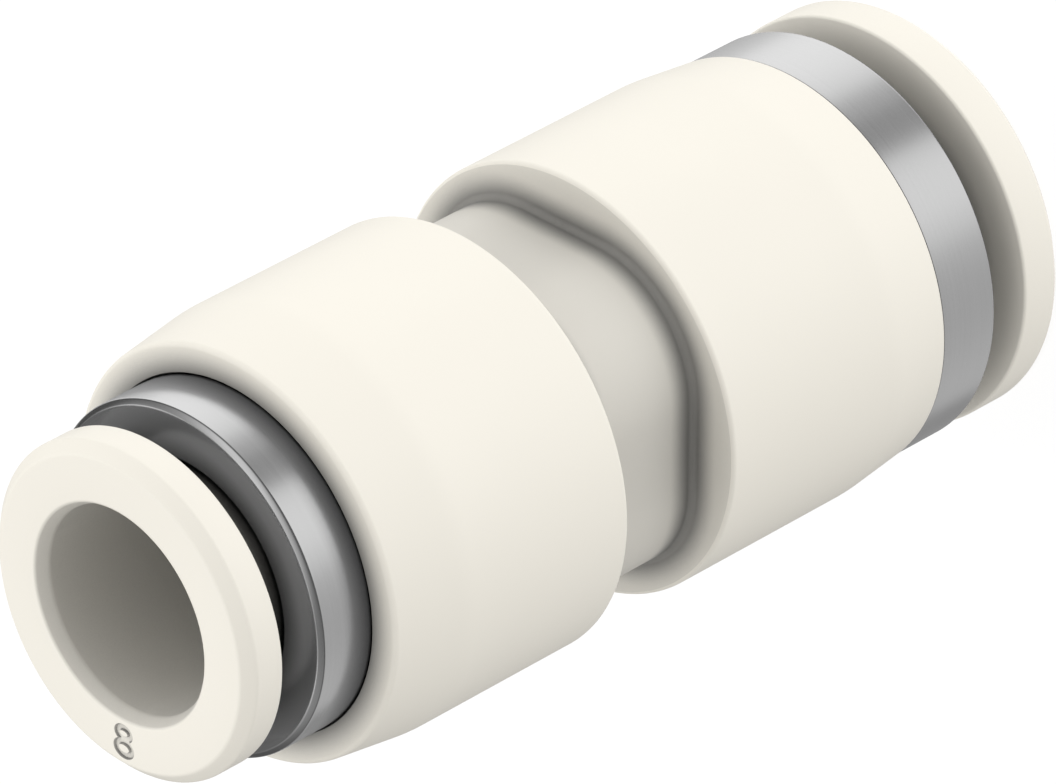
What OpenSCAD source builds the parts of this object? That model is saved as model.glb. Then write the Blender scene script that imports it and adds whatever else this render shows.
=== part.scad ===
// Straight push-in fitting that joins plastic tubes of two sizes.
// It stands on its large end. The small port points up, along +Z, and the origin is at the centre
// of the large release sleeve's outer face. Millimetres.

/* [Body] */
// Diameter of both housings
body_d = 17.35; // [15.5:0.05:20]
// Length of the small housing, from its nose to the waist
small_housing_h = 11.55; // [11.2:0.05:13]
// Length of the large housing, from its nose to the waist
large_housing_h = 11.67; // [11.2:0.05:13]
// Height of the waist between the housings
waist_h = 5.46; // [4:0.02:8]
// Width of the waist across its flats
waist_w = 13.2; // [12.4:0.1:14]
// Radius of the waist's corners
waist_corner_r = 4.7; // [3.5:0.1:5.8]
// Radius of the fillet where the waist meets the housings
root_fillet = 0.25; // [0.1:0.01:0.5]
// Radius of the moulded edges of the housings
edge_r = 0.2; // [0.1:0.01:0.3]
// Diameter of the passage between the two tube stops
flow_d = 6; // [4:0.1:7]

/* [Small port] */
// Outer diameter of the tube that fits the small port
small_tube_d = 8; // [7:0.05:9]
// How far the small housing tapers in by its nose
small_nose_step = 0.415; // [0.1:0.005:0.6]
// Length of the taper towards the small nose
small_cone_h = 3.3; // [2:0.1:5]
// How far the small collar stands out of its housing
small_collar_out = 2.48; // [2:0.02:3]
// How far the small collar reaches into its housing
small_collar_in = 2.9; // [2.6:0.05:3.4]
// Radial room between the small sleeve's catch and its collar
small_collar_room = 1.03; // [0.4:0.01:1.3]
// How far the small flange stands inside the collar's outer diameter
small_flange_step = 0.32; // [0:0.01:0.6]
// Flange thickness of the small release sleeve
small_flange_h = 1.73; // [1.3:0.01:2.5]
// Bevel of the small flange's outer edge
small_flange_bevel = 0.46; // [0.2:0.02:0.7]
// Teeth of the small grab ring
small_teeth = 8; // [6:1:10]

/* [Large port] */
// Outer diameter of the tube that fits the large port
large_tube_d = 10; // [9:0.05:11]
// How far the large housing tapers in by its nose
large_nose_step = 0.305; // [0.1:0.005:0.6]
// Length of the taper towards the large nose
large_cone_h = 2.85; // [2:0.05:5]
// How far the large collar's band stands inside the nose of its housing
large_collar_step = 0.03; // [0:0.01:0.3]
// Length of the large collar's band, from its lip to the housing
large_collar_out = 2.9; // [2.4:0.02:3.6]
// How far the large collar's skirt reaches into its housing
large_collar_in = 3.2; // [2.9:0.05:3.6]
// Radial room between the large sleeve's catch and its collar's skirt
large_collar_room = 0.15; // [0.1:0.01:0.5]
// How far the large flange stands inside the collar's outer diameter
large_flange_step = 0.01; // [0:0.01:0.4]
// Flange thickness of the large release sleeve
large_flange_h = 2.04; // [1.5:0.01:2.8]
// Bevel of the large flange's outer edge
large_flange_bevel = 0.4; // [0.2:0.02:0.7]
// Teeth of the large grab ring
large_teeth = 10; // [8:1:12]

/* [Release sleeves] */
// Gap between a sleeve's flange and its collar
press_gap = 1.57; // [1.52:0.01:1.8]
// How far a sleeve travels when it is pressed in
press_travel = 1.5; // [1:0.05:1.5]
// Radial room for the tube in the sleeve's bore
tube_slip = 0.14; // [0.08:0.01:0.2]
// Wall of the sleeve's neck
neck_wall = 0.56; // [0.45:0.01:0.6]
// Radial room for the neck in the collar's hole
neck_clear = 0.2; // [0.15:0.01:0.25]
// How far the sleeve's catch reaches behind the collar's hole
catch_h = 0.6; // [0.4:0.02:0.7]
// Length of the catch's straight land
catch_land = 0.5; // [0.3:0.05:0.8]
// Size of the lead-in at the mouth of the sleeve
mouth_bevel = 0.27; // [0.15:0.01:0.4]
// Depth of the lead-in at the mouth of the sleeve
mouth_depth = 0.51; // [0.3:0.01:0.8]
// Slots that part the sleeve's legs
leg_slots = 3; // [3:1:6]
// Width of each slot
leg_slot_w = 0.7; // [0.5:0.05:1.2]
// How far the slots reach past the catch
leg_slot_past = 0.12; // [0:0.02:0.4]
// Angle by which the slots are turned from the waist's flats
leg_slot_turn = 11; // [0:1:60]

/* [Collars] */
// Thickness of the drawn steel
sheet_t = 0.5; // [0.35:0.01:0.55]
// Bevel of the collar's outer lip
lip_bevel = 0.32; // [0.15:0.01:0.4]
// How far the collar's end face dips towards its hole
dish = 0.18; // [0.05:0.01:0.4]
// Height of the bead that snaps into the housing
bead_h = 0.15; // [0.08:0.01:0.2]
// Length of the bead
bead_w = 0.6; // [0.4:0.05:0.9]
// Lead-in at the mouth of the housing
socket_bevel = 0.12; // [0.05:0.01:0.3]

/* [Grab rings, supports and seals] */
// Thickness of the grab ring's spring steel
ring_t = 0.3; // [0.2:0.01:0.4]
// Angle at which the teeth lean inwards
tooth_slope = 35; // [28:1:40]
// How far the teeth's tips stand inside the tube's outer face
tooth_bite = 0.15; // [0.1:0.01:0.2]
// Width of the slots between the teeth
tooth_slot_w = 0.75; // [0.5:0.05:1]
// Radial distance from the tube to the teeth's roots
tooth_len = 1.45; // [1.2:0.05:1.5]
// Height of the support ring
support_h = 2.3; // [2.1:0.05:2.6]
// Radial step on which the support ring rests
support_ledge = 0.3; // [0.2:0.02:0.35]
// Radial room for the seal around the tube
seal_w = 1.75; // [1.6:0.02:1.8]
// Height of the seal's seat
seal_h = 1.9; // [1.5:0.05:2.2]
// How far the seal's lip stands inside the tube's outer face
seal_bite = 0.15; // [0.1:0.01:0.2]
// Radial room for the tube in its seat in the body
seat_slip = 0.05; // [0.03:0.01:0.12]
// Length of the tube's seat in the body
seat_h = 4.2; // [3:0.05:4.6]
// Lead-in at the mouth of the tube's seat
seat_bevel = 0.25; // [0.1:0.01:0.3]

/* [Hidden] */
$fn = 64;

// Room left between two pieces that are pressed or laid into each other
fit_gap = 0.03;
// Room between the sleeve's catch and the collar it rests against
rest_gap = 0.04;
// Room left between a pressed sleeve's nose and the teeth
nose_gap = 0.1;
// Wall of the sleeve's nose at its tip
nose_wall = 0.16;
// Overshoot of a cut past the face it opens
cut = 1;

cream = [0.96, 0.94, 0.89];
steel = [0.72, 0.72, 0.73];
spring_steel = [0.62, 0.62, 0.64];
support_white = [0.9, 0.9, 0.88];
rubber_black = [0.08, 0.08, 0.08];

// One entry for each port, the small one first
SMALL = 0;
LARGE = 1;
tube_r = [small_tube_d / 2, large_tube_d / 2];
nose_r = [body_d / 2 - small_nose_step, body_d / 2 - large_nose_step];
cone_h = [small_cone_h, large_cone_h];
housing_h = [small_housing_h, large_housing_h];
collar_out = [small_collar_out, large_collar_out];
collar_in = [small_collar_in, large_collar_in];
collar_room = [small_collar_room, large_collar_room];
flange_step = [small_flange_step, large_flange_step];
flange_h = [small_flange_h, large_flange_h];
flange_bevel = [small_flange_bevel, large_flange_bevel];
teeth = [small_teeth, large_teeth];

// Radii that follow the tube
function bore_r(p) = tube_r[p] + tube_slip;
function neck_r(p) = bore_r(p) + neck_wall;
function hole_r(p) = neck_r(p) + neck_clear;
function catch_r(p) = hole_r(p) + catch_h;
function skirt_r(p) = catch_r(p) + collar_room[p] + sheet_t;
function root_r(p) = tube_r[p] + tooth_len;
function tip_r(p) = tube_r[p] - tooth_bite;
function seat_r(p) = tube_r[p] + seat_slip;
function seal_r(p) = tube_r[p] + seal_w;
function support_r(p) = seal_r(p) + support_ledge;

// The small collar is one cylinder; the large one widens outside its housing to follow the nose
function band_r(p) = p == SMALL ? skirt_r(p) : nose_r[p] - large_collar_step;
function flange_r(p) = band_r(p) - flange_step[p];

// Heights in a port's own frame: the housing's nose is at 0 and the tube leaves along +Z
function ring_top(p) = -collar_in[p];
function support_top(p) = ring_top(p) - ring_t;
function seal_top(p) = support_top(p) - support_h;
function seat_top(p) = seal_top(p) - seal_h;
function tube_stop(p) = seat_top(p) - seat_h;
function tooth_top(p, r) = ring_top(p) - (root_r(p) - r) * tan(tooth_slope);
function flange_under(p) = collar_out[p] + press_gap;
function flange_face(p) = flange_under(p) + flange_h[p];
function catch_top(p) = collar_out[p] - dish - sheet_t - rest_gap;
function nose_z(p, r) = tooth_top(p, r) + press_travel + nose_gap;
function bead_z(p) = -collar_in[p] / 2;

// Heights of the two noses in the fitting's frame
large_nose_z = flange_face(LARGE);
waist_z = large_nose_z + large_housing_h;
small_nose_z = waist_z + waist_h + small_housing_h;

// Points of a rounded corner, as [radius, height]
function corner(centre, r, from, to, steps = 4) = [
    for (i = [0:steps]) let (a = from + (to - from) * i / steps) centre + r * [cos(a), sin(a)]
];

// Outline of one side of the waist, which flares into both housings
function waist_side(reach) = concat(
    [[0, -cut], [reach + root_fillet, -cut]],
    corner([reach + root_fillet, root_fillet], root_fillet, -90, -180),
    corner([reach + root_fillet, waist_h - root_fillet], root_fillet, 180, 90),
    [[reach + root_fillet, waist_h + cut], [0, waist_h + cut]]
);

module at_port(p) {
    if (p == SMALL)
        translate([0, 0, small_nose_z]) children();
    else
        translate([0, 0, large_nose_z]) rotate([180, 0, 0]) children();
}

module turned(points) {
    rotate_extrude() polygon(points);
}

// Copies spread evenly around the axis, the first one half a step past the turn
module around(count, turn = 0) {
    for (i = [0:count - 1])
        rotate([0, 0, turn + (i + 0.5) * 360 / count]) children();
}

module housing(p) {
    r = body_d / 2;
    turned(concat(
        [[0, -housing_h[p]]],
        corner([r - edge_r, edge_r - housing_h[p]], edge_r, -90, 0),
        [[r, -cone_h[p]]],
        corner([nose_r[p] - edge_r, -edge_r], edge_r, 0, 90),
        [[0, 0]]
    ));
}

// Square waist with round corners: a flared wall for each flat and a flared post for each corner
module waist() {
    inner = waist_w / 2 - waist_corner_r;
    for (side = [0:3])
        rotate([0, 0, side * 90]) {
            rotate([90, 0, 0])
                linear_extrude(2 * inner, center = true) polygon(waist_side(waist_w / 2));
            translate([inner, inner, 0]) turned(waist_side(waist_corner_r));
        }
}

// The stepped socket that holds a port's pieces, down to the passage
module socket(p) {
    pocket = skirt_r(p) + fit_gap;
    groove = pocket + bead_h;
    turned([
        [0, cut], [pocket + socket_bevel, cut],
        [pocket + socket_bevel, 0], [pocket, -socket_bevel],
        [pocket, bead_z(p) + bead_w / 2 + bead_h + fit_gap],
        [groove, bead_z(p) + bead_w / 2 + fit_gap],
        [groove, bead_z(p) - bead_w / 2 - fit_gap],
        [pocket, bead_z(p) - bead_w / 2 - bead_h - fit_gap],
        [pocket, support_top(p)],
        [support_r(p), support_top(p)], [support_r(p), seal_top(p)],
        [seal_r(p), seal_top(p)], [seal_r(p), seat_top(p)],
        [seat_r(p) + seat_bevel, seat_top(p)], [seat_r(p), seat_top(p) - seat_bevel],
        [seat_r(p), tube_stop(p)], [0, tube_stop(p)]
    ]);
}

module body() {
    color(cream)
    difference() {
        union() {
            at_port(SMALL) housing(SMALL);
            at_port(LARGE) housing(LARGE);
            translate([0, 0, waist_z]) waist();
        }
        at_port(SMALL) socket(SMALL);
        at_port(LARGE) socket(LARGE);
        translate([0, 0, large_nose_z]) cylinder(d = flow_d, h = small_nose_z - large_nose_z);
    }
}

// Drawn steel collar: a dished end with a hole, a band, and a skirt with a bead inside the housing
module collar(p) {
    band = band_r(p);
    skirt = skirt_r(p);
    top = collar_out[p];
    inside = skirt - sheet_t;
    color(steel)
    turned(concat(
        [
            [hole_r(p), top - dish - sheet_t], [hole_r(p), top - dish],
            [band - lip_bevel, top], [band, top - lip_bevel]
        ],
        p == LARGE ? [[band, 0], [skirt, 0]] : [],
        [
            [skirt, bead_z(p) + bead_w / 2 + bead_h], [skirt + bead_h, bead_z(p) + bead_w / 2],
            [skirt + bead_h, bead_z(p) - bead_w / 2], [skirt, bead_z(p) - bead_w / 2 - bead_h],
            [skirt, -collar_in[p]], [inside, -collar_in[p]]
        ],
        p == LARGE ? [[inside, sheet_t], [band - sheet_t, sheet_t]] : [],
        [
            [band - sheet_t, top - lip_bevel - sheet_t],
            [band - sheet_t - lip_bevel, top - sheet_t]
        ]
    ));
}

// Release sleeve: a flange to press, a neck, and legs that end in a catch and a nose
module release_sleeve(p) {
    bore = bore_r(p);
    neck = neck_r(p);
    face = flange_face(p);
    nose_tip = nose_z(p, bore + nose_wall);
    color(cream)
    difference() {
        turned([
            [bore, nose_tip], [bore + nose_wall, nose_tip], [neck, nose_z(p, neck)],
            [neck, catch_top(p) - catch_land - catch_h - neck_clear],
            [catch_r(p), catch_top(p) - catch_land], [catch_r(p), catch_top(p)],
            [neck, catch_top(p)], [neck, flange_under(p)],
            [flange_r(p), flange_under(p)], [flange_r(p), face - flange_bevel[p]],
            [flange_r(p) - flange_bevel[p], face],
            [bore + mouth_bevel, face], [bore, face - mouth_depth]
        ]);
        around(leg_slots, leg_slot_turn)
            translate([tube_r[p] / 2, -leg_slot_w / 2, nose_tip - cut])
                cube([catch_r(p), leg_slot_w, catch_top(p) + leg_slot_past - nose_tip + cut]);
    }
}

// Stamped spring-steel ring whose slotted teeth lean inwards and grip the tube
module grab_ring(p) {
    root = root_r(p);
    bend = ring_t * tan(tooth_slope / 2);
    tip_top = tooth_top(p, tip_r(p));
    tip_low = tip_top - ring_t / cos(tooth_slope);
    color(spring_steel)
    difference() {
        turned([
            [tip_r(p), tip_top], [root, ring_top(p)],
            [skirt_r(p), ring_top(p)], [skirt_r(p), support_top(p)],
            [root + bend, support_top(p)], [tip_r(p), tip_low]
        ]);
        around(teeth[p])
            translate([0, 0, tip_low - cut])
                linear_extrude(ring_top(p) - tip_low + 2 * cut) {
                    translate([0, -tooth_slot_w / 2]) square([root, tooth_slot_w]);
                    translate([root, 0]) circle(d = tooth_slot_w);
                }
    }
}

// Plastic ring that carries the teeth, guides the tube and keeps the seal in its seat
module support_ring(p) {
    outer = support_r(p) - fit_gap;
    top = support_top(p);
    low = seal_top(p);
    guide = bore_r(p);
    rest = root_r(p) + ring_t;
    color(support_white)
    turned([
        [guide, low], [outer, low], [outer, top], [rest, top],
        [guide + neck_wall, low + support_h / 3], [guide, low + support_h / 4]
    ]);
}

// Rubber lip seal, open towards the pressure
module seal(p) {
    outer = seal_r(p) - fit_gap;
    lip = tube_r[p] - seal_bite;
    heel = bore_r(p) + neck_clear;
    top = seal_top(p) - fit_gap;
    low = seat_top(p) + fit_gap;
    deep = top - low;
    color(rubber_black)
    turned([
        [heel, top], [outer, top], [outer, low], [outer - seal_w / 3, low],
        [outer - seal_w / 2, low + deep / 2], [lip + seal_w / 5, low + deep / 8],
        [lip, low + deep / 5], [lip, low + deep / 3], [heel, top - deep / 3]
    ]);
}

body();
at_port(SMALL) collar(SMALL);  // collar_8
at_port(SMALL) release_sleeve(SMALL);  // release_sleeve_8
at_port(SMALL) grab_ring(SMALL);  // grab_ring_8
at_port(SMALL) support_ring(SMALL);  // support_ring_8
at_port(SMALL) seal(SMALL);  // seal_8
at_port(LARGE) collar(LARGE);  // collar_10
at_port(LARGE) release_sleeve(LARGE);  // release_sleeve_10
at_port(LARGE) grab_ring(LARGE);  // grab_ring_10
at_port(LARGE) support_ring(LARGE);  // support_ring_10
at_port(LARGE) seal(LARGE);  // seal_10
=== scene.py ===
"""Looks of a straight push-in fitting for two tube sizes.

Cream moulded housings with a square waist, drawn steel collars, release sleeves with an engraved
tube size, and the grab rings, supports and seals inside. Lengths are in millimetres unless they end
in _M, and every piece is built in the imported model's own frame.
"""
import math

import bmesh
import bpy
from mathutils import Matrix, Vector


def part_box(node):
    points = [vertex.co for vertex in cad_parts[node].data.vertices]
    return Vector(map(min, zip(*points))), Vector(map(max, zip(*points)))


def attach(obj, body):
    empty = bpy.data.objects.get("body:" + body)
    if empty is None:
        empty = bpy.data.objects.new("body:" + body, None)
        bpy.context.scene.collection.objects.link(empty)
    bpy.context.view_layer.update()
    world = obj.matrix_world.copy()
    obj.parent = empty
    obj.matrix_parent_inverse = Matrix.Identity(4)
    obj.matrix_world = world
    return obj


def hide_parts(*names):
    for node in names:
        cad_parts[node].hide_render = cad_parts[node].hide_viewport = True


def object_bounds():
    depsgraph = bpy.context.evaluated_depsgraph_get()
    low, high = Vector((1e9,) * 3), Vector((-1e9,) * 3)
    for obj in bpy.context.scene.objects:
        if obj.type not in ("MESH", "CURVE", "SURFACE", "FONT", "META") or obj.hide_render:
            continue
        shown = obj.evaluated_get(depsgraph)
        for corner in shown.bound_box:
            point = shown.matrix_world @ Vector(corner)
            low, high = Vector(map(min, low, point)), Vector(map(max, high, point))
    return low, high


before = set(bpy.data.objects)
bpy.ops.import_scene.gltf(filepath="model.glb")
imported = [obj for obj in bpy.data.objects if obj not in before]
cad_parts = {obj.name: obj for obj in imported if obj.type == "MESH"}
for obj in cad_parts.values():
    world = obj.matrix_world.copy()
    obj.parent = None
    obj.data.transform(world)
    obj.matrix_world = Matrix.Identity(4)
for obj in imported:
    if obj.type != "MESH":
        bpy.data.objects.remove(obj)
CAD_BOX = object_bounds()
MM = 0.001


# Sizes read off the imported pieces

def reach(node):
    """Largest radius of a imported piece."""
    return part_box(node)[1].x / MM


def lowest(node):
    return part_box(node)[0].z / MM


def highest(node):
    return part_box(node)[1].z / MM


# Sizes of the housings and the waist
BODY_R = reach("body")
CONE_H = {"8": 3.3, "10": 2.85}
HOUSING_H = {"8": 11.55, "10": 11.67}
NOSE_STEP = {"8": 0.415, "10": 0.305}
NOSE_EDGE_R = {"8": 0.2, "10": 0.07}
CONE_BLEND = 0.35
WAIST_EDGE_R = 0.198
WAIST_HALF = 6.6
WAIST_CORNER_R = 4.7
ROOT_FILLET = 0.25
PASSAGE_R = 3.0
PASSAGE_EDGE_R = 0.1

# Sizes of the sockets. The two edges of a mouth bevel differ, so that turned() rounds each alone
MOUTH_STEP = 0.04
MOUTH_RIM_R = 0.012
MOUTH_FOOT_R = 0.011
FIT_GAP = 0.03
SEAT_SLIP = 0.05
SEAT_H = 4.2
SEAT_BEVEL = 0.25
SEAT_EDGE_R = 0.05

# Sizes of the collars
SHEET_T = 0.5
HOLE_EDGE_R = 0.1
DISH = 0.18
LIP_BEVEL = 0.22
LIP_DROP = 0.17
LIP_EDGE_R = 0.05
LIP_FOOT_R = 0.06
BAND_EDGE_R = 0.03
BEAD_H = 0.15
BEAD_W = 0.6
BEAD_EDGE_R = 0.05
SKIRT_EDGE_R = 0.08
STEP_INSIDE_R = 0.12
LIP_INSIDE_R = 0.05

# Sizes of the release sleeves
TUBE_SLIP = 0.14
NECK_WALL = 0.56
NECK_CLEAR = 0.2
NECK_ROOT_R = 0.15
CATCH_H = 0.6
CATCH_LAND = 0.5
CATCH_FOOT_R = 0.05
CATCH_EDGE_R = 0.03
REST_GAP = 0.04
FLANGE_H = {"8": 1.73, "10": 2.04}
FLANGE_BEVEL = {"8": 0.46, "10": 0.4}
FLANGE_UNDER_R = 0.12
FLANGE_SIDE_R = 0.07
FLANGE_FACE_R = 0.09
BORE_BEVEL = 0.27
BORE_BEVEL_H = 0.51
BORE_EDGE_R = 0.1
NOSE_WALL = 0.16
NOSE_TIP_R = 0.03
NOSE_FOOT_R = 0.05
TOOTH_LEAN = math.radians(35)
LEG_SLOTS = 3
LEG_SLOT_W = 0.7
LEG_SLOT_PAST = 0.12
LEG_SLOT_TURN = math.radians(11)
SLOT_OVER = 1.0

# The engraved 8. Each loop: its middle above the figure's centre, half its width, half its height
FIGURE_LOOPS = ((0.32, 0.48, 0.385), (-0.33, 0.54, 0.43))
FIGURE_PLACE = (-5.30, -0.13)
FIGURE_DEPTH = 0.09
FIGURE_STROKE = 0.28
FIGURE_DRAFT = 0.045
FIGURE_STEPS = 48
FIGURE_OVER = 0.1

# Sizes of the rings and seals that the sockets hold
RING_T = 0.3
SUPPORT_H = 2.3
SUPPORT_LEDGE = 0.3
SEAL_W = 1.75
SEAL_H = 1.9

# Fineness of the meshes, and how near two places count as one
TURN_STEPS = 192
ROUND_SEGMENTS = 5
SHARP_ANGLE = math.radians(38)
TOUCH = 0.001


class Port:
    """One end of the fitting. Heights run outward from the nose of its housing."""

    def __init__(self, size, tube_r, outward):
        self.size = size
        self.outward = outward
        self.nose_z = highest("body") if outward > 0 else lowest("body")
        self.tube_r = tube_r
        self.bore_r = tube_r + TUBE_SLIP
        self.neck_r = self.bore_r + NECK_WALL
        self.hole_r = self.neck_r + NECK_CLEAR
        self.catch_r = self.hole_r + CATCH_H
        self.nose_r = BODY_R - NOSE_STEP[size]
        # The grab ring lies under the end of the collar's skirt and is as wide as it
        self.skirt_r = reach("grab_ring_" + size)
        self.collar_out = self.height_of("collar_" + size, far=True)
        self.collar_in = -self.height_of("collar_" + size, far=False)
        self.face = self.height_of("release_sleeve_" + size, far=True)
        self.leg_tip = self.height_of("release_sleeve_" + size, far=False)
        self.flange_r = reach("release_sleeve_" + size)
        self.flange_under = self.face - FLANGE_H[size]
        self.bead_top = -self.collar_in / 2 + BEAD_W / 2
        self.bead_low = -self.collar_in / 2 - BEAD_W / 2

    def height_of(self, node, far):
        """Height of a piece's outer or inner end above the nose."""
        outer_is_highest = (self.outward > 0) == far
        end = highest(node) if outer_is_highest else lowest(node)
        return (end - self.nose_z) * self.outward

    def at(self, corners):
        """Corners given as (radius, height, rounding) in this port, in the fitting's frame."""
        return [(r, self.nose_z + self.outward * h, rounding) for r, h, rounding in corners]


SMALL = Port("8", tube_r=4.0, outward=1)
LARGE = Port("10", tube_r=5.0, outward=-1)
WAIST_TOP = SMALL.nose_z - HOUSING_H["8"]
WAIST_LOW = LARGE.nose_z + HOUSING_H["10"]


# Modelling helpers

def spin_round(bm, geometry, steps):
    """Turns a profile once round the Z axis."""
    bmesh.ops.spin(
        bm, geom=geometry, cent=(0, 0, 0), axis=(0, 0, 1), angle=math.tau, steps=steps, use_merge=True,
    )


def rotate_all(bm, angle, axis):
    turn = Matrix.Rotation(angle, 3, axis)
    bmesh.ops.rotate(bm, cent=(0, 0, 0), matrix=turn, verts=bm.verts[:])


def turned(corners):
    """Closed ring of (radius, height, rounding) corners, each rounded, then spun about the axis."""
    bm = bmesh.new()
    verts = [bm.verts.new((r * MM, 0, z * MM)) for r, z, _ in corners]
    bm.faces.new(verts)
    for rounding in sorted({c[2] for c in corners if c[2] > 0}):
        chosen = [v for v, c in zip(verts, corners) if c[2] == rounding]
        bmesh.ops.bevel(
            bm, geom=chosen, offset=rounding * MM, offset_type="OFFSET", segments=ROUND_SEGMENTS,
            profile=0.5, affect="VERTICES", material=-1,
        )
    bmesh.ops.delete(bm, geom=bm.faces[:], context="FACES_ONLY")
    spin_round(bm, bm.verts[:] + bm.edges[:], TURN_STEPS)
    bmesh.ops.recalc_face_normals(bm, faces=bm.faces[:])
    return bm


def add_object(name, bm):
    mesh = bpy.data.meshes.new(name)
    bm.to_mesh(mesh)
    bm.free()
    piece = bpy.data.objects.new(name, mesh)
    bpy.context.scene.collection.objects.link(piece)
    return piece


def carve(piece, cutters):
    """Cuts each cutter out of the piece and removes the cutters."""
    for cutter in cutters:
        cut = piece.modifiers.new("cut", "BOOLEAN")
        cut.operation = "DIFFERENCE"
        cut.solver = "EXACT"
        cut.object = cutter
    depsgraph = bpy.context.evaluated_depsgraph_get()
    mesh = bpy.data.meshes.new_from_object(piece.evaluated_get(depsgraph))
    piece.modifiers.clear()
    piece.data = mesh
    for cutter in cutters:
        bpy.data.objects.remove(cutter)


def dress(piece, material, slot, body, *nodes):
    """Smooth shading with crisp edges, the material, and the body that the piece rides on."""
    mesh = piece.data
    mesh.materials.clear()
    mesh.materials.append(material)
    mesh.polygons.foreach_set("use_smooth", [True] * len(mesh.polygons))
    mesh.set_sharp_from_angle(angle=SHARP_ANGLE)
    weights = piece.modifiers.new("face_weights", "WEIGHTED_NORMAL")
    weights.keep_sharp = True
    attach(piece, body)
    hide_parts(*nodes)


# Node helpers

def feed(tree, socket, source):
    """Links an output to the socket, or sets the socket to a plain value."""
    if isinstance(source, bpy.types.NodeSocket):
        tree.links.new(source, socket)
    else:
        socket.default_value = source


def add_node(tree, kind, sources=None, **settings):
    """Adds a node with these settings and feeds its inputs. Gives back its outputs."""
    node = tree.nodes.new(kind)
    for key, value in settings.items():
        setattr(node, key, value)
    for key, source in (sources or {}).items():
        feed(tree, node.inputs[key], source)
    return node.outputs


def use_group(tree, group, sources=None):
    return add_node(tree, "ShaderNodeGroup", sources, node_tree=group)


def calc(tree, operation, *sources):
    """Result of one operation on numbers."""
    return add_node(tree, "ShaderNodeMath", dict(enumerate(sources)), operation=operation)[0]


def calc_vector(tree, operation, *sources):
    """Result of one operation on vectors."""
    result = "Value" if operation in ("LENGTH", "DOT_PRODUCT") else "Vector"
    outputs = add_node(tree, "ShaderNodeVectorMath", dict(enumerate(sources)), operation=operation)
    return outputs[result]


def chain(tree, operation, first, *others):
    """The same operation over several numbers, such as their product."""
    total = first
    for other in others:
        total = calc(tree, operation, total, other)
    return total


def carry(tree, value, source_range, target_range, **settings):
    """A value carried from one range to another and held at its ends."""
    sources = {
        "Value": value, "From Min": source_range[0], "From Max": source_range[1],
        "To Min": target_range[0], "To Max": target_range[1],
    }
    return add_node(tree, "ShaderNodeMapRange", sources, **settings)["Result"]


# Sockets of a mix node by what it mixes: the first input, the second input and the result
MIX_SOCKETS = {"FLOAT": (2, 3, 0), "VECTOR": (4, 5, 1)}


def blend(tree, kind, share, first, second):
    """Goes from the first input to the second as the share goes from 0 to 1."""
    first_at, second_at, result_at = MIX_SOCKETS[kind]
    sources = {0: share, first_at: first, second_at: second}
    return add_node(tree, "ShaderNodeMix", sources, data_type=kind)[result_at]


def off_axis(tree, vector):
    """The part of a vector that is square to the fitting's axis."""
    return calc_vector(tree, "MULTIPLY", vector, (1.0, 1.0, 0.0))


def new_group(name, inputs, outputs):
    """An empty shader node group: the group, its inputs as sockets, and the sockets of its results."""
    group = bpy.data.node_groups.new(name, "ShaderNodeTree")
    for label, default in inputs.items():
        socket = group.interface.new_socket(label, in_out="INPUT", socket_type="NodeSocketFloat")
        socket.default_value = default
    for label in outputs:
        group.interface.new_socket(label, in_out="OUTPUT", socket_type="NodeSocketFloat")
    given = group.nodes.new("NodeGroupInput").outputs
    results = group.nodes.new("NodeGroupOutput").inputs
    return group, given, results


# Node groups that the materials share

# Part of a soft noise over which the plastic's tone drifts
DRIFT_RANGE = (0.3, 0.7)
# How much a drawn line varies along its length, per radian
LINE_CHANGE = 0.8
AO_SAMPLES = 6
# A wall nearer to the axis than a groove's floor, by more than this, belongs to a bore
BORE_MARGIN = 0.1
# How far a wall faces the axis, from full painted shade to none. At -1 it faces it squarely
BORE_FACING = (-0.9, -0.2)


def moulded_grain_group():
    """Soft tone drift and the fine grain that a mould leaves on plastic."""
    inputs = {"Drift": 0.02, "Grain size": 9000.0}
    group, given, results = new_group("moulded_grain", inputs, ("Tone", "Height"))
    place = add_node(group, "ShaderNodeTexCoord")["Object"]
    drift = add_node(group, "ShaderNodeTexNoise", {"Vector": place, "Scale": 90.0, "Detail": 2.0})
    grain = add_node(
        group, "ShaderNodeTexNoise",
        {"Vector": place, "Scale": given["Grain size"], "Detail": 3.0, "Roughness": 0.6},
    )
    darkest = calc(group, "SUBTRACT", 1.0, given["Drift"])
    feed(group, results["Tone"], carry(group, drift["Fac"], DRIFT_RANGE, (darkest, 1.0)))
    feed(group, results["Height"], grain["Fac"])
    return group


def drawn_lines_group():
    """Fine lines that run round the axis, as a drawing die and a lathe leave them on steel."""
    group, given, results = new_group("drawn_lines", {"Lines per m": 22000.0}, ("Line", "Height"))
    place = add_node(group, "ShaderNodeTexCoord")["Object"]
    parts = add_node(group, "ShaderNodeSeparateXYZ", {0: place})
    radius = calc_vector(group, "LENGTH", off_axis(group, place))
    angle = calc(group, "ARCTAN2", parts["Y"], parts["X"])
    rolled = add_node(group, "ShaderNodeCombineXYZ", {
        "X": calc(group, "MULTIPLY", radius, given["Lines per m"]),
        "Y": calc(group, "MULTIPLY", parts["Z"], given["Lines per m"]),
        "Z": calc(group, "MULTIPLY", angle, LINE_CHANGE),
    })
    noise = add_node(
        group, "ShaderNodeTexNoise", {"Vector": rolled[0], "Scale": 1.0, "Detail": 3.0, "Roughness": 0.65},
    )
    feed(group, results["Line"], noise["Fac"])
    feed(group, results["Height"], noise["Fac"])
    return group


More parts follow.
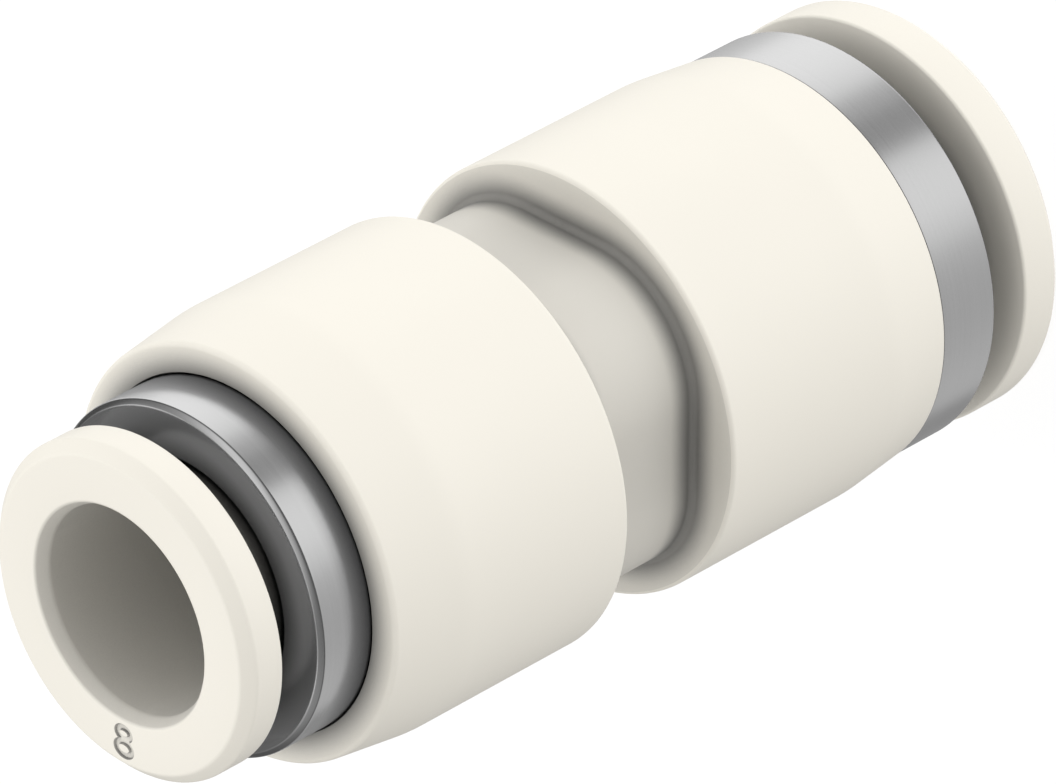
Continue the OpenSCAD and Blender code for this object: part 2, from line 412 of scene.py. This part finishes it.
def recess_group():
    """Painted shade: 1 on an open face, falling towards 0 where walls close in on it."""
    inputs = {"Distance": 0.002, "Falloff": 1.5}
    group, given, results = new_group("recess_shade", inputs, ("Openness",))
    reaching = {"Distance": given["Distance"]}
    crowding = add_node(group, "ShaderNodeAmbientOcclusion", reaching, samples=AO_SAMPLES)
    feed(group, results["Openness"], calc(group, "POWER", crowding["AO"], given["Falloff"]))
    return group


def groove_group():
    """Painted shade of a groove round the axis, darkest at its floor, with more painted shade on the
    fillets at its roots.
    """
    inputs = {
        "Floor radius": 0.0, "Rim radius": 1.0, "Low": 0.0, "High": 1.0, "Darkest": 0.7, "Root": 0.0,
    }
    group, given, results = new_group("groove_shade", inputs, ("Shade",))
    point = add_node(group, "ShaderNodeTexCoord")
    height = add_node(group, "ShaderNodeSeparateXYZ", {0: point["Object"]})["Z"]
    radius = calc_vector(group, "LENGTH", off_axis(group, point["Object"]))
    shade = carry(group, radius, (given["Floor radius"], given["Rim radius"]), (given["Darkest"], 1.0))
    # A slanted face is one on a fillet. The factor of 4 takes its slant up to 1 at 45 degrees
    facing = add_node(group, "ShaderNodeSeparateXYZ", {0: point["Normal"]})["Z"]
    upward = calc(group, "MULTIPLY", facing, facing)
    slant = chain(group, "MULTIPLY", upward, calc(group, "SUBTRACT", 1.0, upward), 4.0)
    kept = calc(group, "SUBTRACT", 1.0, calc(group, "MULTIPLY", slant, given["Root"]))
    nearest = calc(group, "SUBTRACT", given["Floor radius"], BORE_MARGIN * MM)
    within = chain(
        group, "MULTIPLY", calc(group, "GREATER_THAN", height, given["Low"]),
        calc(group, "LESS_THAN", height, given["High"]), calc(group, "GREATER_THAN", radius, nearest),
    )
    inner = calc(group, "MULTIPLY", shade, kept)
    feed(group, results["Shade"], blend(group, "FLOAT", within, 1.0, inner))
    return group


def bore_group():
    """Painted shade on walls that face the axis, such as the inside of a bore."""
    group, given, results = new_group("bore_shade", {"Darkest": 0.8}, ("Shade",))
    point = add_node(group, "ShaderNodeTexCoord")
    outward = calc_vector(group, "NORMALIZE", off_axis(group, point["Object"]))
    facing = calc_vector(group, "DOT_PRODUCT", outward, point["Normal"])
    feed(group, results["Shade"], carry(group, facing, BORE_FACING, (given["Darkest"], 1.0)))
    return group


MOULDED_GRAIN = moulded_grain_group()
DRAWN_LINES = drawn_lines_group()
RECESS = recess_group()
GROOVE = groove_group()
BORE = bore_group()


# Materials

CREAM_COLOUR = (0.87, 0.834, 0.748)
SUPPORT_COLOUR = (0.78, 0.78, 0.75)
STAINLESS_COLOUR = (0.66, 0.66, 0.66)
SPRING_COLOUR = (0.5, 0.5, 0.52)
RUBBER_COLOUR = (0.03, 0.03, 0.03)
# Painted reflection: the plastic's darker grey colour as the steel next to it mirrors it
MIRRORED_PLASTIC = (0.4, 0.4, 0.4)
PLASTIC_IOR = 1.45
# How far off a wall still darkens a face with painted shade
PLASTIC_RECESS_M = 0.0012
STEEL_RECESS_M = 0.0014
# A recess's painted shade falls off faster by this much where its other painted shades are down to
# DEEP_SHADE
RECESS_DEEPER = 1.3
DEEP_SHADE = 0.7
# Ranges of grain and of lines over which roughness and tone vary, and by how much
GRAIN_RANGE = (0.25, 0.75)
GRAIN_GLOSS = 0.04
LINE_RANGE = (0.3, 0.7)
LINE_GLOSS = 0.03
LINE_TONES = (0.98, 1.02)
# How dark the painted shade makes the bores, the necks and the waist, and how much darker it makes the
# fillets at their roots
BORE_DARKEST = 0.8
NECK_DARKEST = 0.5
WAIST_DARKEST = 0.73
ROOT_DARKER = 0.18
# How far from its floor the neck gets painted shade, and how far past the body's radius the waist's
# painted shade would end
NECK_SHADE_REACH = 0.3
WAIST_SHADE_PAST = 1.4
GROOVE_EDGE = 0.01


def new_material(name):
    material = bpy.data.materials.new(name)
    material.use_nodes = True
    return material, material.node_tree


def set_shader(material, sources):
    """Feeds the inputs of the material's shader."""
    tree = material.node_tree
    for label, source in sources.items():
        feed(tree, tree.nodes["Principled BSDF"].inputs[label], source)


def tinted(tree, colour, *factors):
    """A colour, given as numbers or as a socket, times each of the factors."""
    result = colour
    for factor in factors:
        sources = {0: result, "Scale": factor}
        result = add_node(tree, "ShaderNodeVectorMath", sources, operation="SCALE")["Vector"]
    return result


def bumped(tree, height, strength, depth):
    sources = {"Height": height, "Strength": strength, "Distance": depth}
    return add_node(tree, "ShaderNodeBump", sources)["Normal"]


def plastic(name, colour, roughness, recess_falloff, shades=()):
    """Moulded plastic: a soft gloss, fine grain, and recesses darkened with painted shade.

    Each shade is a node group of painted shade and its values, and where one is dark the recesses' painted
    shade falls off faster.
    """
    material, tree = new_material(name)
    grain = use_group(tree, MOULDED_GRAIN)
    # Painted shade: the shades and the recess scale down the base colour
    shade = chain(tree, "MULTIPLY", 1.0, *(use_group(tree, *each)["Shade"] for each in shades))
    falloff = carry(tree, shade, (DEEP_SHADE, 1.0), (recess_falloff + RECESS_DEEPER, recess_falloff))
    recess = use_group(tree, RECESS, {"Distance": PLASTIC_RECESS_M, "Falloff": falloff})
    light_left = calc(tree, "MULTIPLY", recess["Openness"], shade)
    # Plastic under painted shade is also painted a little less yellow
    paler = tuple((part + max(colour)) / 2 for part in colour)
    hue = blend(tree, "VECTOR", light_left, paler, colour)
    own = tinted(tree, hue, grain["Tone"], light_left)
    # Painted reflection: mirror rays see the plastic in the darker grey MIRRORED_PLASTIC
    in_mirrors = add_node(tree, "ShaderNodeLightPath")["Is Glossy Ray"]
    glosses = (roughness - GRAIN_GLOSS, roughness + GRAIN_GLOSS)
    set_shader(material, {
        "Base Color": blend(tree, "VECTOR", in_mirrors, own, MIRRORED_PLASTIC),
        "Roughness": carry(tree, grain["Height"], GRAIN_RANGE, glosses),
        "Normal": bumped(tree, grain["Height"], strength=0.35, depth=0.000002),
        "IOR": PLASTIC_IOR,
    })
    return material


def steel(name, colour, roughness, lines, line_height, recess_falloff):
    """Steel with lines round the axis, and painted shade where a neighbour closes in on it."""
    material, tree = new_material(name)
    drawn = use_group(tree, DRAWN_LINES, {"Lines per m": lines})
    # Painted shade from nearby walls darkens the base colour
    recess = use_group(tree, RECESS, {"Distance": STEEL_RECESS_M, "Falloff": recess_falloff})
    streak = carry(tree, drawn["Line"], LINE_RANGE, LINE_TONES)
    glosses = (roughness - LINE_GLOSS, roughness + LINE_GLOSS)
    set_shader(material, {
        "Base Color": tinted(tree, colour, streak, recess["Openness"]),
        "Roughness": carry(tree, drawn["Line"], LINE_RANGE, glosses),
        "Normal": bumped(tree, drawn["Height"], strength=0.2, depth=line_height),
        "Metallic": 1.0,
    })
    return material


def rubber(name, colour, roughness):
    """Matt black seal rubber with a fine bloom."""
    material, tree = new_material(name)
    grain = use_group(tree, MOULDED_GRAIN, {"Drift": 0.2, "Grain size": 14000.0})
    set_shader(material, {
        "Base Color": tinted(tree, colour, grain["Tone"]),
        "Roughness": roughness,
        "Normal": bumped(tree, grain["Height"], strength=0.4, depth=0.00001),
    })
    return material


def groove_shade(floor_r, rim_r, heights, darkest):
    """The painted groove shade with its values for a groove between two heights, in mm."""
    low, high = sorted(heights)
    return GROOVE, {
        "Floor radius": floor_r * MM, "Rim radius": rim_r * MM,
        "Low": low * MM, "High": high * MM, "Darkest": darkest, "Root": ROOT_DARKER,
    }


def neck_shade(port):
    """Painted shade that darkens the neck of a sleeve, from inside its collar out to just under its
    flange.
    """
    ends = (port.collar_out - DISH - SHEET_T, port.flange_under - GROOVE_EDGE)
    heights = [port.nose_z + port.outward * end for end in ends]
    return groove_shade(port.neck_r, port.neck_r + NECK_SHADE_REACH, heights, NECK_DARKEST)


# Painted shade in the waist's groove
WAIST_SHADE = groove_shade(
    WAIST_HALF, BODY_R + WAIST_SHADE_PAST, (WAIST_LOW - GROOVE_EDGE, WAIST_TOP + GROOVE_EDGE),
    WAIST_DARKEST,
)
CREAM = plastic("cream_plastic", CREAM_COLOUR, roughness=0.45, recess_falloff=1.6, shades=[WAIST_SHADE])
# Painted shade in the sleeves' bores and on their necks
SLEEVE_CREAM = plastic(
    "sleeve_plastic", CREAM_COLOUR, roughness=0.45, recess_falloff=1.5,
    shades=[(BORE, {"Darkest": BORE_DARKEST}), neck_shade(SMALL), neck_shade(LARGE)],
)
SUPPORT_WHITE = plastic("support_plastic", SUPPORT_COLOUR, roughness=0.5, recess_falloff=1.5)
STAINLESS = steel(
    "stainless", STAINLESS_COLOUR, roughness=0.2, lines=22000.0, line_height=0.0000005, recess_falloff=1.9,
)
SPRING_STEEL = steel(
    "spring_steel", SPRING_COLOUR, roughness=0.3, lines=9000.0, line_height=0.000002, recess_falloff=1.5,
)
SEAL_RUBBER = rubber("seal_rubber", RUBBER_COLOUR, roughness=0.6)


# The body

def waist_reach(angle, out):
    """Distance from the axis to the waist's round-cornered square, grown outward by out."""
    half = WAIST_HALF + out
    corner_r = WAIST_CORNER_R + out
    inner = half - corner_r
    across, along = sorted((abs(math.cos(angle)), abs(math.sin(angle))))
    if half * across <= inner * along:
        return half / along
    lean = inner * (across + along)
    return lean + math.sqrt(lean * lean - 2 * inner * inner + corner_r * corner_r)


def socket_corners(port):
    """The stepped socket from its mouth down to the tube's stop, in the port's frame."""
    pocket = port.skirt_r + FIT_GAP
    groove = pocket + BEAD_H
    bead_top = port.bead_top + FIT_GAP
    bead_low = port.bead_low - FIT_GAP
    support_top = -port.collar_in - RING_T
    seal_top = support_top - SUPPORT_H
    seat_top = seal_top - SEAL_H
    seal_r = port.tube_r + SEAL_W
    support_r = seal_r + SUPPORT_LEDGE
    seat_r = port.tube_r + SEAT_SLIP
    return [
        (pocket + MOUTH_STEP, 0, MOUTH_RIM_R), (pocket, -MOUTH_STEP, MOUTH_FOOT_R),
        (pocket, bead_top + BEAD_H, 0), (groove, bead_top, 0),
        (groove, bead_low, 0), (pocket, bead_low - BEAD_H, 0),
        (pocket, support_top, 0), (support_r, support_top, 0),
        (support_r, seal_top, 0), (seal_r, seal_top, 0),
        (seal_r, seat_top, 0), (seat_r + SEAT_BEVEL, seat_top, 0),
        (seat_r, seat_top - SEAT_BEVEL, SEAT_EDGE_R), (seat_r, seat_top - SEAT_H, 0),
        (PASSAGE_R, seat_top - SEAT_H, PASSAGE_EDGE_R),
    ]


def housing_corners(port):
    """Outside of one housing, from its nose to the foot of the waist."""
    end = -HOUSING_H[port.size]
    return [
        (port.nose_r, 0, NOSE_EDGE_R[port.size]), (BODY_R, -CONE_H[port.size], CONE_BLEND),
        (BODY_R, end, WAIST_EDGE_R), (WAIST_HALF, end, ROOT_FILLET),
    ]


def make_body():
    """Both housings and the waist, which is turned round and then pressed out to a square."""
    corners = (
        SMALL.at(housing_corners(SMALL)) + LARGE.at(housing_corners(LARGE))[::-1]
        + LARGE.at(socket_corners(LARGE)) + SMALL.at(socket_corners(SMALL))[::-1]
    )
    bm = turned(corners)
    for vert in bm.verts:
        radius = vert.co.xy.length / MM
        height = vert.co.z / MM
        on_waist = WAIST_HALF - TOUCH <= radius <= WAIST_HALF + ROOT_FILLET + TOUCH
        if on_waist and WAIST_LOW - TOUCH <= height <= WAIST_TOP + TOUCH:
            angle = math.atan2(vert.co.y, vert.co.x)
            vert.co.xy = vert.co.xy * (waist_reach(angle, radius - WAIST_HALF) / radius)
    piece = add_object("moulded_housings", bm)
    dress(piece, CREAM, "cream_plastic", "fitting", "body")


# Collars

def make_collar(port):
    """Drawn steel collar: dished end, band, and a skirt whose bead snaps into the housing."""
    stepped = port is LARGE
    skirt = port.skirt_r
    band = reach("collar_10") if stepped else skirt
    inside = skirt - SHEET_T
    band_inside = band - SHEET_T
    top = port.collar_out
    corners = [
        (port.hole_r, top - DISH - SHEET_T, HOLE_EDGE_R), (port.hole_r, top - DISH, HOLE_EDGE_R),
        (band - LIP_BEVEL, top, LIP_EDGE_R), (band, top - LIP_DROP, LIP_FOOT_R),
    ]
    if stepped:
        corners += [(band, 0, BAND_EDGE_R), (skirt, 0, 0)]
    corners += [
        (skirt, port.bead_top + BEAD_H, 0), (skirt + BEAD_H, port.bead_top, BEAD_EDGE_R),
        (skirt + BEAD_H, port.bead_low, BEAD_EDGE_R), (skirt, port.bead_low - BEAD_H, 0),
        (skirt, -port.collar_in, SKIRT_EDGE_R), (inside, -port.collar_in, SKIRT_EDGE_R),
    ]
    if stepped:
        corners += [(inside, SHEET_T, STEP_INSIDE_R), (band_inside, SHEET_T, STEP_INSIDE_R)]
    corners += [
        (band_inside, top - LIP_BEVEL - SHEET_T, LIP_INSIDE_R),
        (band_inside - LIP_BEVEL, top - SHEET_T, LIP_INSIDE_R),
    ]
    piece = add_object("drawn_collar_" + port.size, turned(port.at(corners)))
    dress(piece, STAINLESS, "stainless", "fitting", "collar_" + port.size)


# Release sleeves

def slot_cutter(port, index, low, high):
    """Saw cut that parts two legs of a sleeve."""
    bm = bmesh.new()
    bmesh.ops.create_cube(bm, size=MM)
    bmesh.ops.scale(bm, vec=(port.catch_r, LEG_SLOT_W, high - low), verts=bm.verts[:])
    middle = Vector(((port.tube_r + port.catch_r) / 2, 0, (low + high) / 2)) * MM
    bmesh.ops.translate(bm, vec=middle, verts=bm.verts[:])
    rotate_all(bm, LEG_SLOT_TURN + (index + 0.5) * math.tau / LEG_SLOTS, "Z")
    if port is LARGE:
        rotate_all(bm, math.pi, "X")
    bmesh.ops.translate(bm, vec=(0, 0, port.nose_z * MM), verts=bm.verts[:])
    return add_object("slot_cutter", bm)


def loop_cutter(middle, half_wide, half_high, face_z):
    """Groove of one loop of the 8, an oval ring with a flat floor."""
    half = FIGURE_STROKE / 2
    floor = half - FIGURE_DRAFT
    mean = 1.0
    section = [
        (mean - half, FIGURE_OVER), (mean + half, FIGURE_OVER), (mean + half, 0),
        (mean + floor, -FIGURE_DEPTH), (mean - floor, -FIGURE_DEPTH), (mean - half, 0),
    ]
    bm = bmesh.new()
    verts = [bm.verts.new((r, 0, z)) for r, z in section]
    edges = [bm.edges.new(pair) for pair in zip(verts, verts[1:] + verts[:1])]
    spin_round(bm, verts + edges, FIGURE_STEPS)
    for vert in bm.verts:
        away = vert.co.xy.length - mean
        direction = vert.co.xy.normalized()
        middle_line = Vector((direction.x * (half_wide - half), direction.y * (half_high - half)))
        vert.co.xy = middle_line + direction * away
    bmesh.ops.translate(bm, vec=(0, middle, 0), verts=bm.verts[:])
    rotate_all(bm, -math.pi / 2, "Z")
    bmesh.ops.translate(bm, vec=(*FIGURE_PLACE, face_z), verts=bm.verts[:])
    bmesh.ops.scale(bm, vec=(MM, MM, MM), verts=bm.verts[:])
    bmesh.ops.recalc_face_normals(bm, faces=bm.faces[:])
    return add_object("loop_cutter", bm)


def make_sleeve(port):
    """Release sleeve: flange, neck, and slotted legs that end in a catch and a nose."""
    catch_top = port.collar_out - DISH - SHEET_T - REST_GAP
    catch_low = catch_top - CATCH_LAND
    bevel = FLANGE_BEVEL[port.size]
    nose_rise = (NECK_WALL - NOSE_WALL) * math.tan(TOOTH_LEAN)
    corners = [
        (port.bore_r, port.leg_tip, NOSE_TIP_R), (port.bore_r + NOSE_WALL, port.leg_tip, NOSE_TIP_R),
        (port.neck_r, port.leg_tip + nose_rise, NOSE_FOOT_R),
        (port.neck_r, catch_low - CATCH_H - NECK_CLEAR, 0),
        (port.catch_r, catch_low, CATCH_FOOT_R), (port.catch_r, catch_top, CATCH_EDGE_R),
        (port.neck_r, catch_top, 0), (port.neck_r, port.flange_under, NECK_ROOT_R),
        (port.flange_r, port.flange_under, FLANGE_UNDER_R),
        (port.flange_r, port.face - bevel, FLANGE_SIDE_R),
        (port.flange_r - bevel, port.face, FLANGE_FACE_R),
        (port.bore_r + BORE_BEVEL, port.face, BORE_EDGE_R),
        (port.bore_r, port.face - BORE_BEVEL_H, BORE_EDGE_R),
    ]
    piece = add_object("press_sleeve_" + port.size, turned(port.at(corners)))
    slot_ends = (port.leg_tip - SLOT_OVER, catch_top + LEG_SLOT_PAST)
    cutters = [slot_cutter(port, index, *slot_ends) for index in range(LEG_SLOTS)]
    if port is SMALL:
        cutters += [loop_cutter(*loop, highest("release_sleeve_8")) for loop in FIGURE_LOOPS]
    carve(piece, cutters)
    body = "small_sleeve" if port is SMALL else "large_sleeve"
    dress(piece, SLEEVE_CREAM, "sleeve_plastic", body, "release_sleeve_" + port.size)


def dress_inner_pieces():
    """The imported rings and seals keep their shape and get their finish."""
    finishes = {"grab_ring": SPRING_STEEL, "support_ring": SUPPORT_WHITE, "seal": SEAL_RUBBER}
    for kind, material in finishes.items():
        for size in ("8", "10"):
            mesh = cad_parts[kind + "_" + size].data
            mesh.materials.clear()
            mesh.materials.append(material)


# Studio

CAMERA_RIGHT = Vector((0.0, -0.7104, -0.7038)).normalized()
CAMERA_FORWARD = Vector((-0.5243, 0.5993, -0.6049)).normalized()
# The fitting's origin as the camera sees it: right, down and ahead
ORIGIN_SEEN = (14.153, -7.235, 434.24)
CAMERA_LENS = 389.45
CAMERA_SENSOR = 36.0
CAMERA_NEAR_M = 0.01
CAMERA_FAR_M = 10.0


def make_camera():
    right = CAMERA_RIGHT
    down = CAMERA_FORWARD.cross(right).normalized()
    ahead = right.cross(down)
    place = -(right * ORIGIN_SEEN[0] + down * ORIGIN_SEEN[1] + ahead * ORIGIN_SEEN[2]) * MM
    data = bpy.data.cameras.new("camera")
    data.sensor_fit = "HORIZONTAL"
    data.sensor_width = CAMERA_SENSOR
    data.lens = CAMERA_LENS
    data.clip_start = CAMERA_NEAR_M
    data.clip_end = CAMERA_FAR_M
    camera = bpy.data.objects.new("camera", data)
    turn = Matrix((right, -down, -ahead)).transposed()
    camera.matrix_world = Matrix.Translation(place) @ turn.to_4x4()
    bpy.context.scene.collection.objects.link(camera)
    bpy.context.scene.camera = camera


# Broad soft lights on the plastic: (compass direction and height in degrees, strength)
SOFTBOXES = (
    (300, -60, 0.48), (350, -30, 1.36), (270, -30, 0.84), (90, 0, 0.88), (210, 0, 0.16),
    (180, 30, 0.28), (120, 60, 0.76), (35, 60, 0.56), (0, 90, 0.48),
)
# What steel mirrors round the compass, anticlockwise from +X: (degrees, brightness)
HORIZON = (
    (0, 0.48), (9, 0.58), (29, 1.02), (57, 1.12), (69, 1.09), (89, 0.78), (109, 0.59), (169, 0.32),
    (189, 0.56), (249, 0.51), (269, 0.58), (289, 0.84), (311, 0.96), (329, 0.88), (345, 0.38),
    (352, 0.37), (360, 0.48),
)
# Heights in degrees between which what steel mirrors goes over from the horizon to the ceiling
HORIZON_TOP = (-16, -2)
# What it mirrors above the horizon, by height: (degrees, brightness)
CEILING = (
    (-90, 0.08), (0, 0.08), (14, 0.1), (26, 0.17), (42, 0.14), (55, 0.18), (67, 0.46), (78, 0.64),
    (90, 0.64),
)
# Panels up there that light the small collar's lip: (compass direction, height, strength, tightness)
PANELS = ((22, 50, 0.68, 9.0), (93, 40, 0.88, 50.0), (170, 50, 0.64, 30.0), (200, 28, 0.12, 6.0))


def aim_at(azimuth, elevation):
    """Unit vector for a compass direction and a height in degrees."""
    turn, rise = math.radians(azimuth), math.radians(elevation)
    return Vector((math.cos(rise) * math.cos(turn), math.cos(rise) * math.sin(turn), math.sin(rise)))


def softbox_light(tree, direction, azimuth, elevation, strength, tightness=2.0):
    """Light that falls off with a power of the cosine from the softbox's direction."""
    aim = calc_vector(tree, "DOT_PRODUCT", direction, aim_at(azimuth, elevation))
    falling = calc(tree, "POWER", calc(tree, "MAXIMUM", aim, 0.0), tightness)
    return calc(tree, "MULTIPLY", falling, strength)


def level_curve(tree, value, points, low, high):
    """Smooth curve through (place, level) points over the range from low to high."""
    share = carry(tree, value, (low, high), (0.0, 1.0))
    ramp = tree.nodes.new("ShaderNodeFloatCurve")
    tallest = max(level for _, level in points)
    curve = ramp.mapping.curves[0]
    ends = (points[0], points[-1])
    for point, (place, level) in zip(curve.points, ends):
        point.location = ((place - low) / (high - low), level / tallest)
    for place, level in points[1:-1]:
        curve.points.new((place - low) / (high - low), level / tallest)
    ramp.mapping.update()
    feed(tree, ramp.inputs["Value"], share)
    return calc(tree, "MULTIPLY", ramp.outputs[0], tallest)


def mirrored_studio(tree, direction):
    """Brightness of the studio walls for mirror-like rays."""
    parts = add_node(tree, "ShaderNodeSeparateXYZ", {0: direction})
    turn = calc(tree, "DEGREES", calc(tree, "ARCTAN2", parts["Y"], parts["X"]))
    compass = calc(tree, "FLOORED_MODULO", turn, 360.0)
    height = calc(tree, "DEGREES", calc(tree, "ARCSINE", parts["Z"]))
    panels = [softbox_light(tree, direction, *panel) for panel in PANELS]
    above = chain(tree, "ADD", level_curve(tree, height, CEILING, -90, 90), *panels)
    around = level_curve(tree, compass, HORIZON, 0, 360)
    fade = carry(tree, height, HORIZON_TOP, (0.0, 1.0), interpolation_type="SMOOTHSTEP")
    return blend(tree, "FLOAT", fade, around, above)


def make_world():
    """White backdrop for the eye, soft light for plastic, and a striped horizon for steel."""
    world = bpy.data.worlds.new("studio")
    world.use_nodes = True
    bpy.context.scene.world = world
    tree = world.node_tree
    tree.nodes.clear()
    direction = add_node(tree, "ShaderNodeTexCoord")["Generated"]
    rays = add_node(tree, "ShaderNodeLightPath")
    soft = chain(tree, "ADD", *(softbox_light(tree, direction, *softbox) for softbox in SOFTBOXES))
    unseen = blend(tree, "FLOAT", rays["Is Glossy Ray"], soft, mirrored_studio(tree, direction))
    seen = calc(tree, "MAXIMUM", rays["Is Camera Ray"], rays["Is Transmission Ray"])
    strength = blend(tree, "FLOAT", seen, unseen, 1.0)
    backdrop = add_node(
        tree, "ShaderNodeBackground", {"Color": (1.0, 1.0, 1.0, 1.0), "Strength": strength},
    )
    add_node(tree, "ShaderNodeOutputWorld", {"Surface": backdrop[0]})
    world.cycles.sampling_method = "NONE"


FLOOR_R_M = 3.0
FLOOR_SEGMENTS = 64
FLOOR_DROP_M = 0.00003
FLOOR_GLOW = 0.84
FLOOR_COLOUR = (0.2, 0.2, 0.2, 1.0)


def make_floor():
    """Pale floor with the fitting's faint shadow. Its back is clear, so the underside shows."""
    bm = bmesh.new()
    bmesh.ops.create_circle(bm, cap_ends=True, segments=FLOOR_SEGMENTS, radius=FLOOR_R_M)
    bmesh.ops.translate(bm, vec=(0, 0, CAD_BOX[0].z - FLOOR_DROP_M), verts=bm.verts[:])
    floor = add_object("floor", bm)
    material, tree = new_material("pale_floor")
    tree.nodes.clear()
    glow = add_node(tree, "ShaderNodeEmission", {"Strength": FLOOR_GLOW})
    matt = add_node(tree, "ShaderNodeBsdfDiffuse", {"Color": FLOOR_COLOUR})
    front = add_node(tree, "ShaderNodeAddShader", {0: glow[0], 1: matt[0]})
    back = add_node(tree, "ShaderNodeBsdfTransparent")
    is_back = add_node(tree, "ShaderNodeNewGeometry")["Backfacing"]
    surface = add_node(tree, "ShaderNodeMixShader", {0: is_back, 1: front[0], 2: back[0]})
    add_node(tree, "ShaderNodeOutputMaterial", {"Surface": surface[0]})
    floor.data.materials.append(material)
    floor.visible_diffuse = False
    floor.visible_glossy = False
    floor.visible_shadow = False


make_camera()
make_world()
make_floor()
make_body()
for port in (SMALL, LARGE):
    make_collar(port)
    make_sleeve(port)
dress_inner_pieces()

bpy.context.scene.view_settings.view_transform = "Standard"
bpy.context.scene.cycles.diffuse_bounces = 1
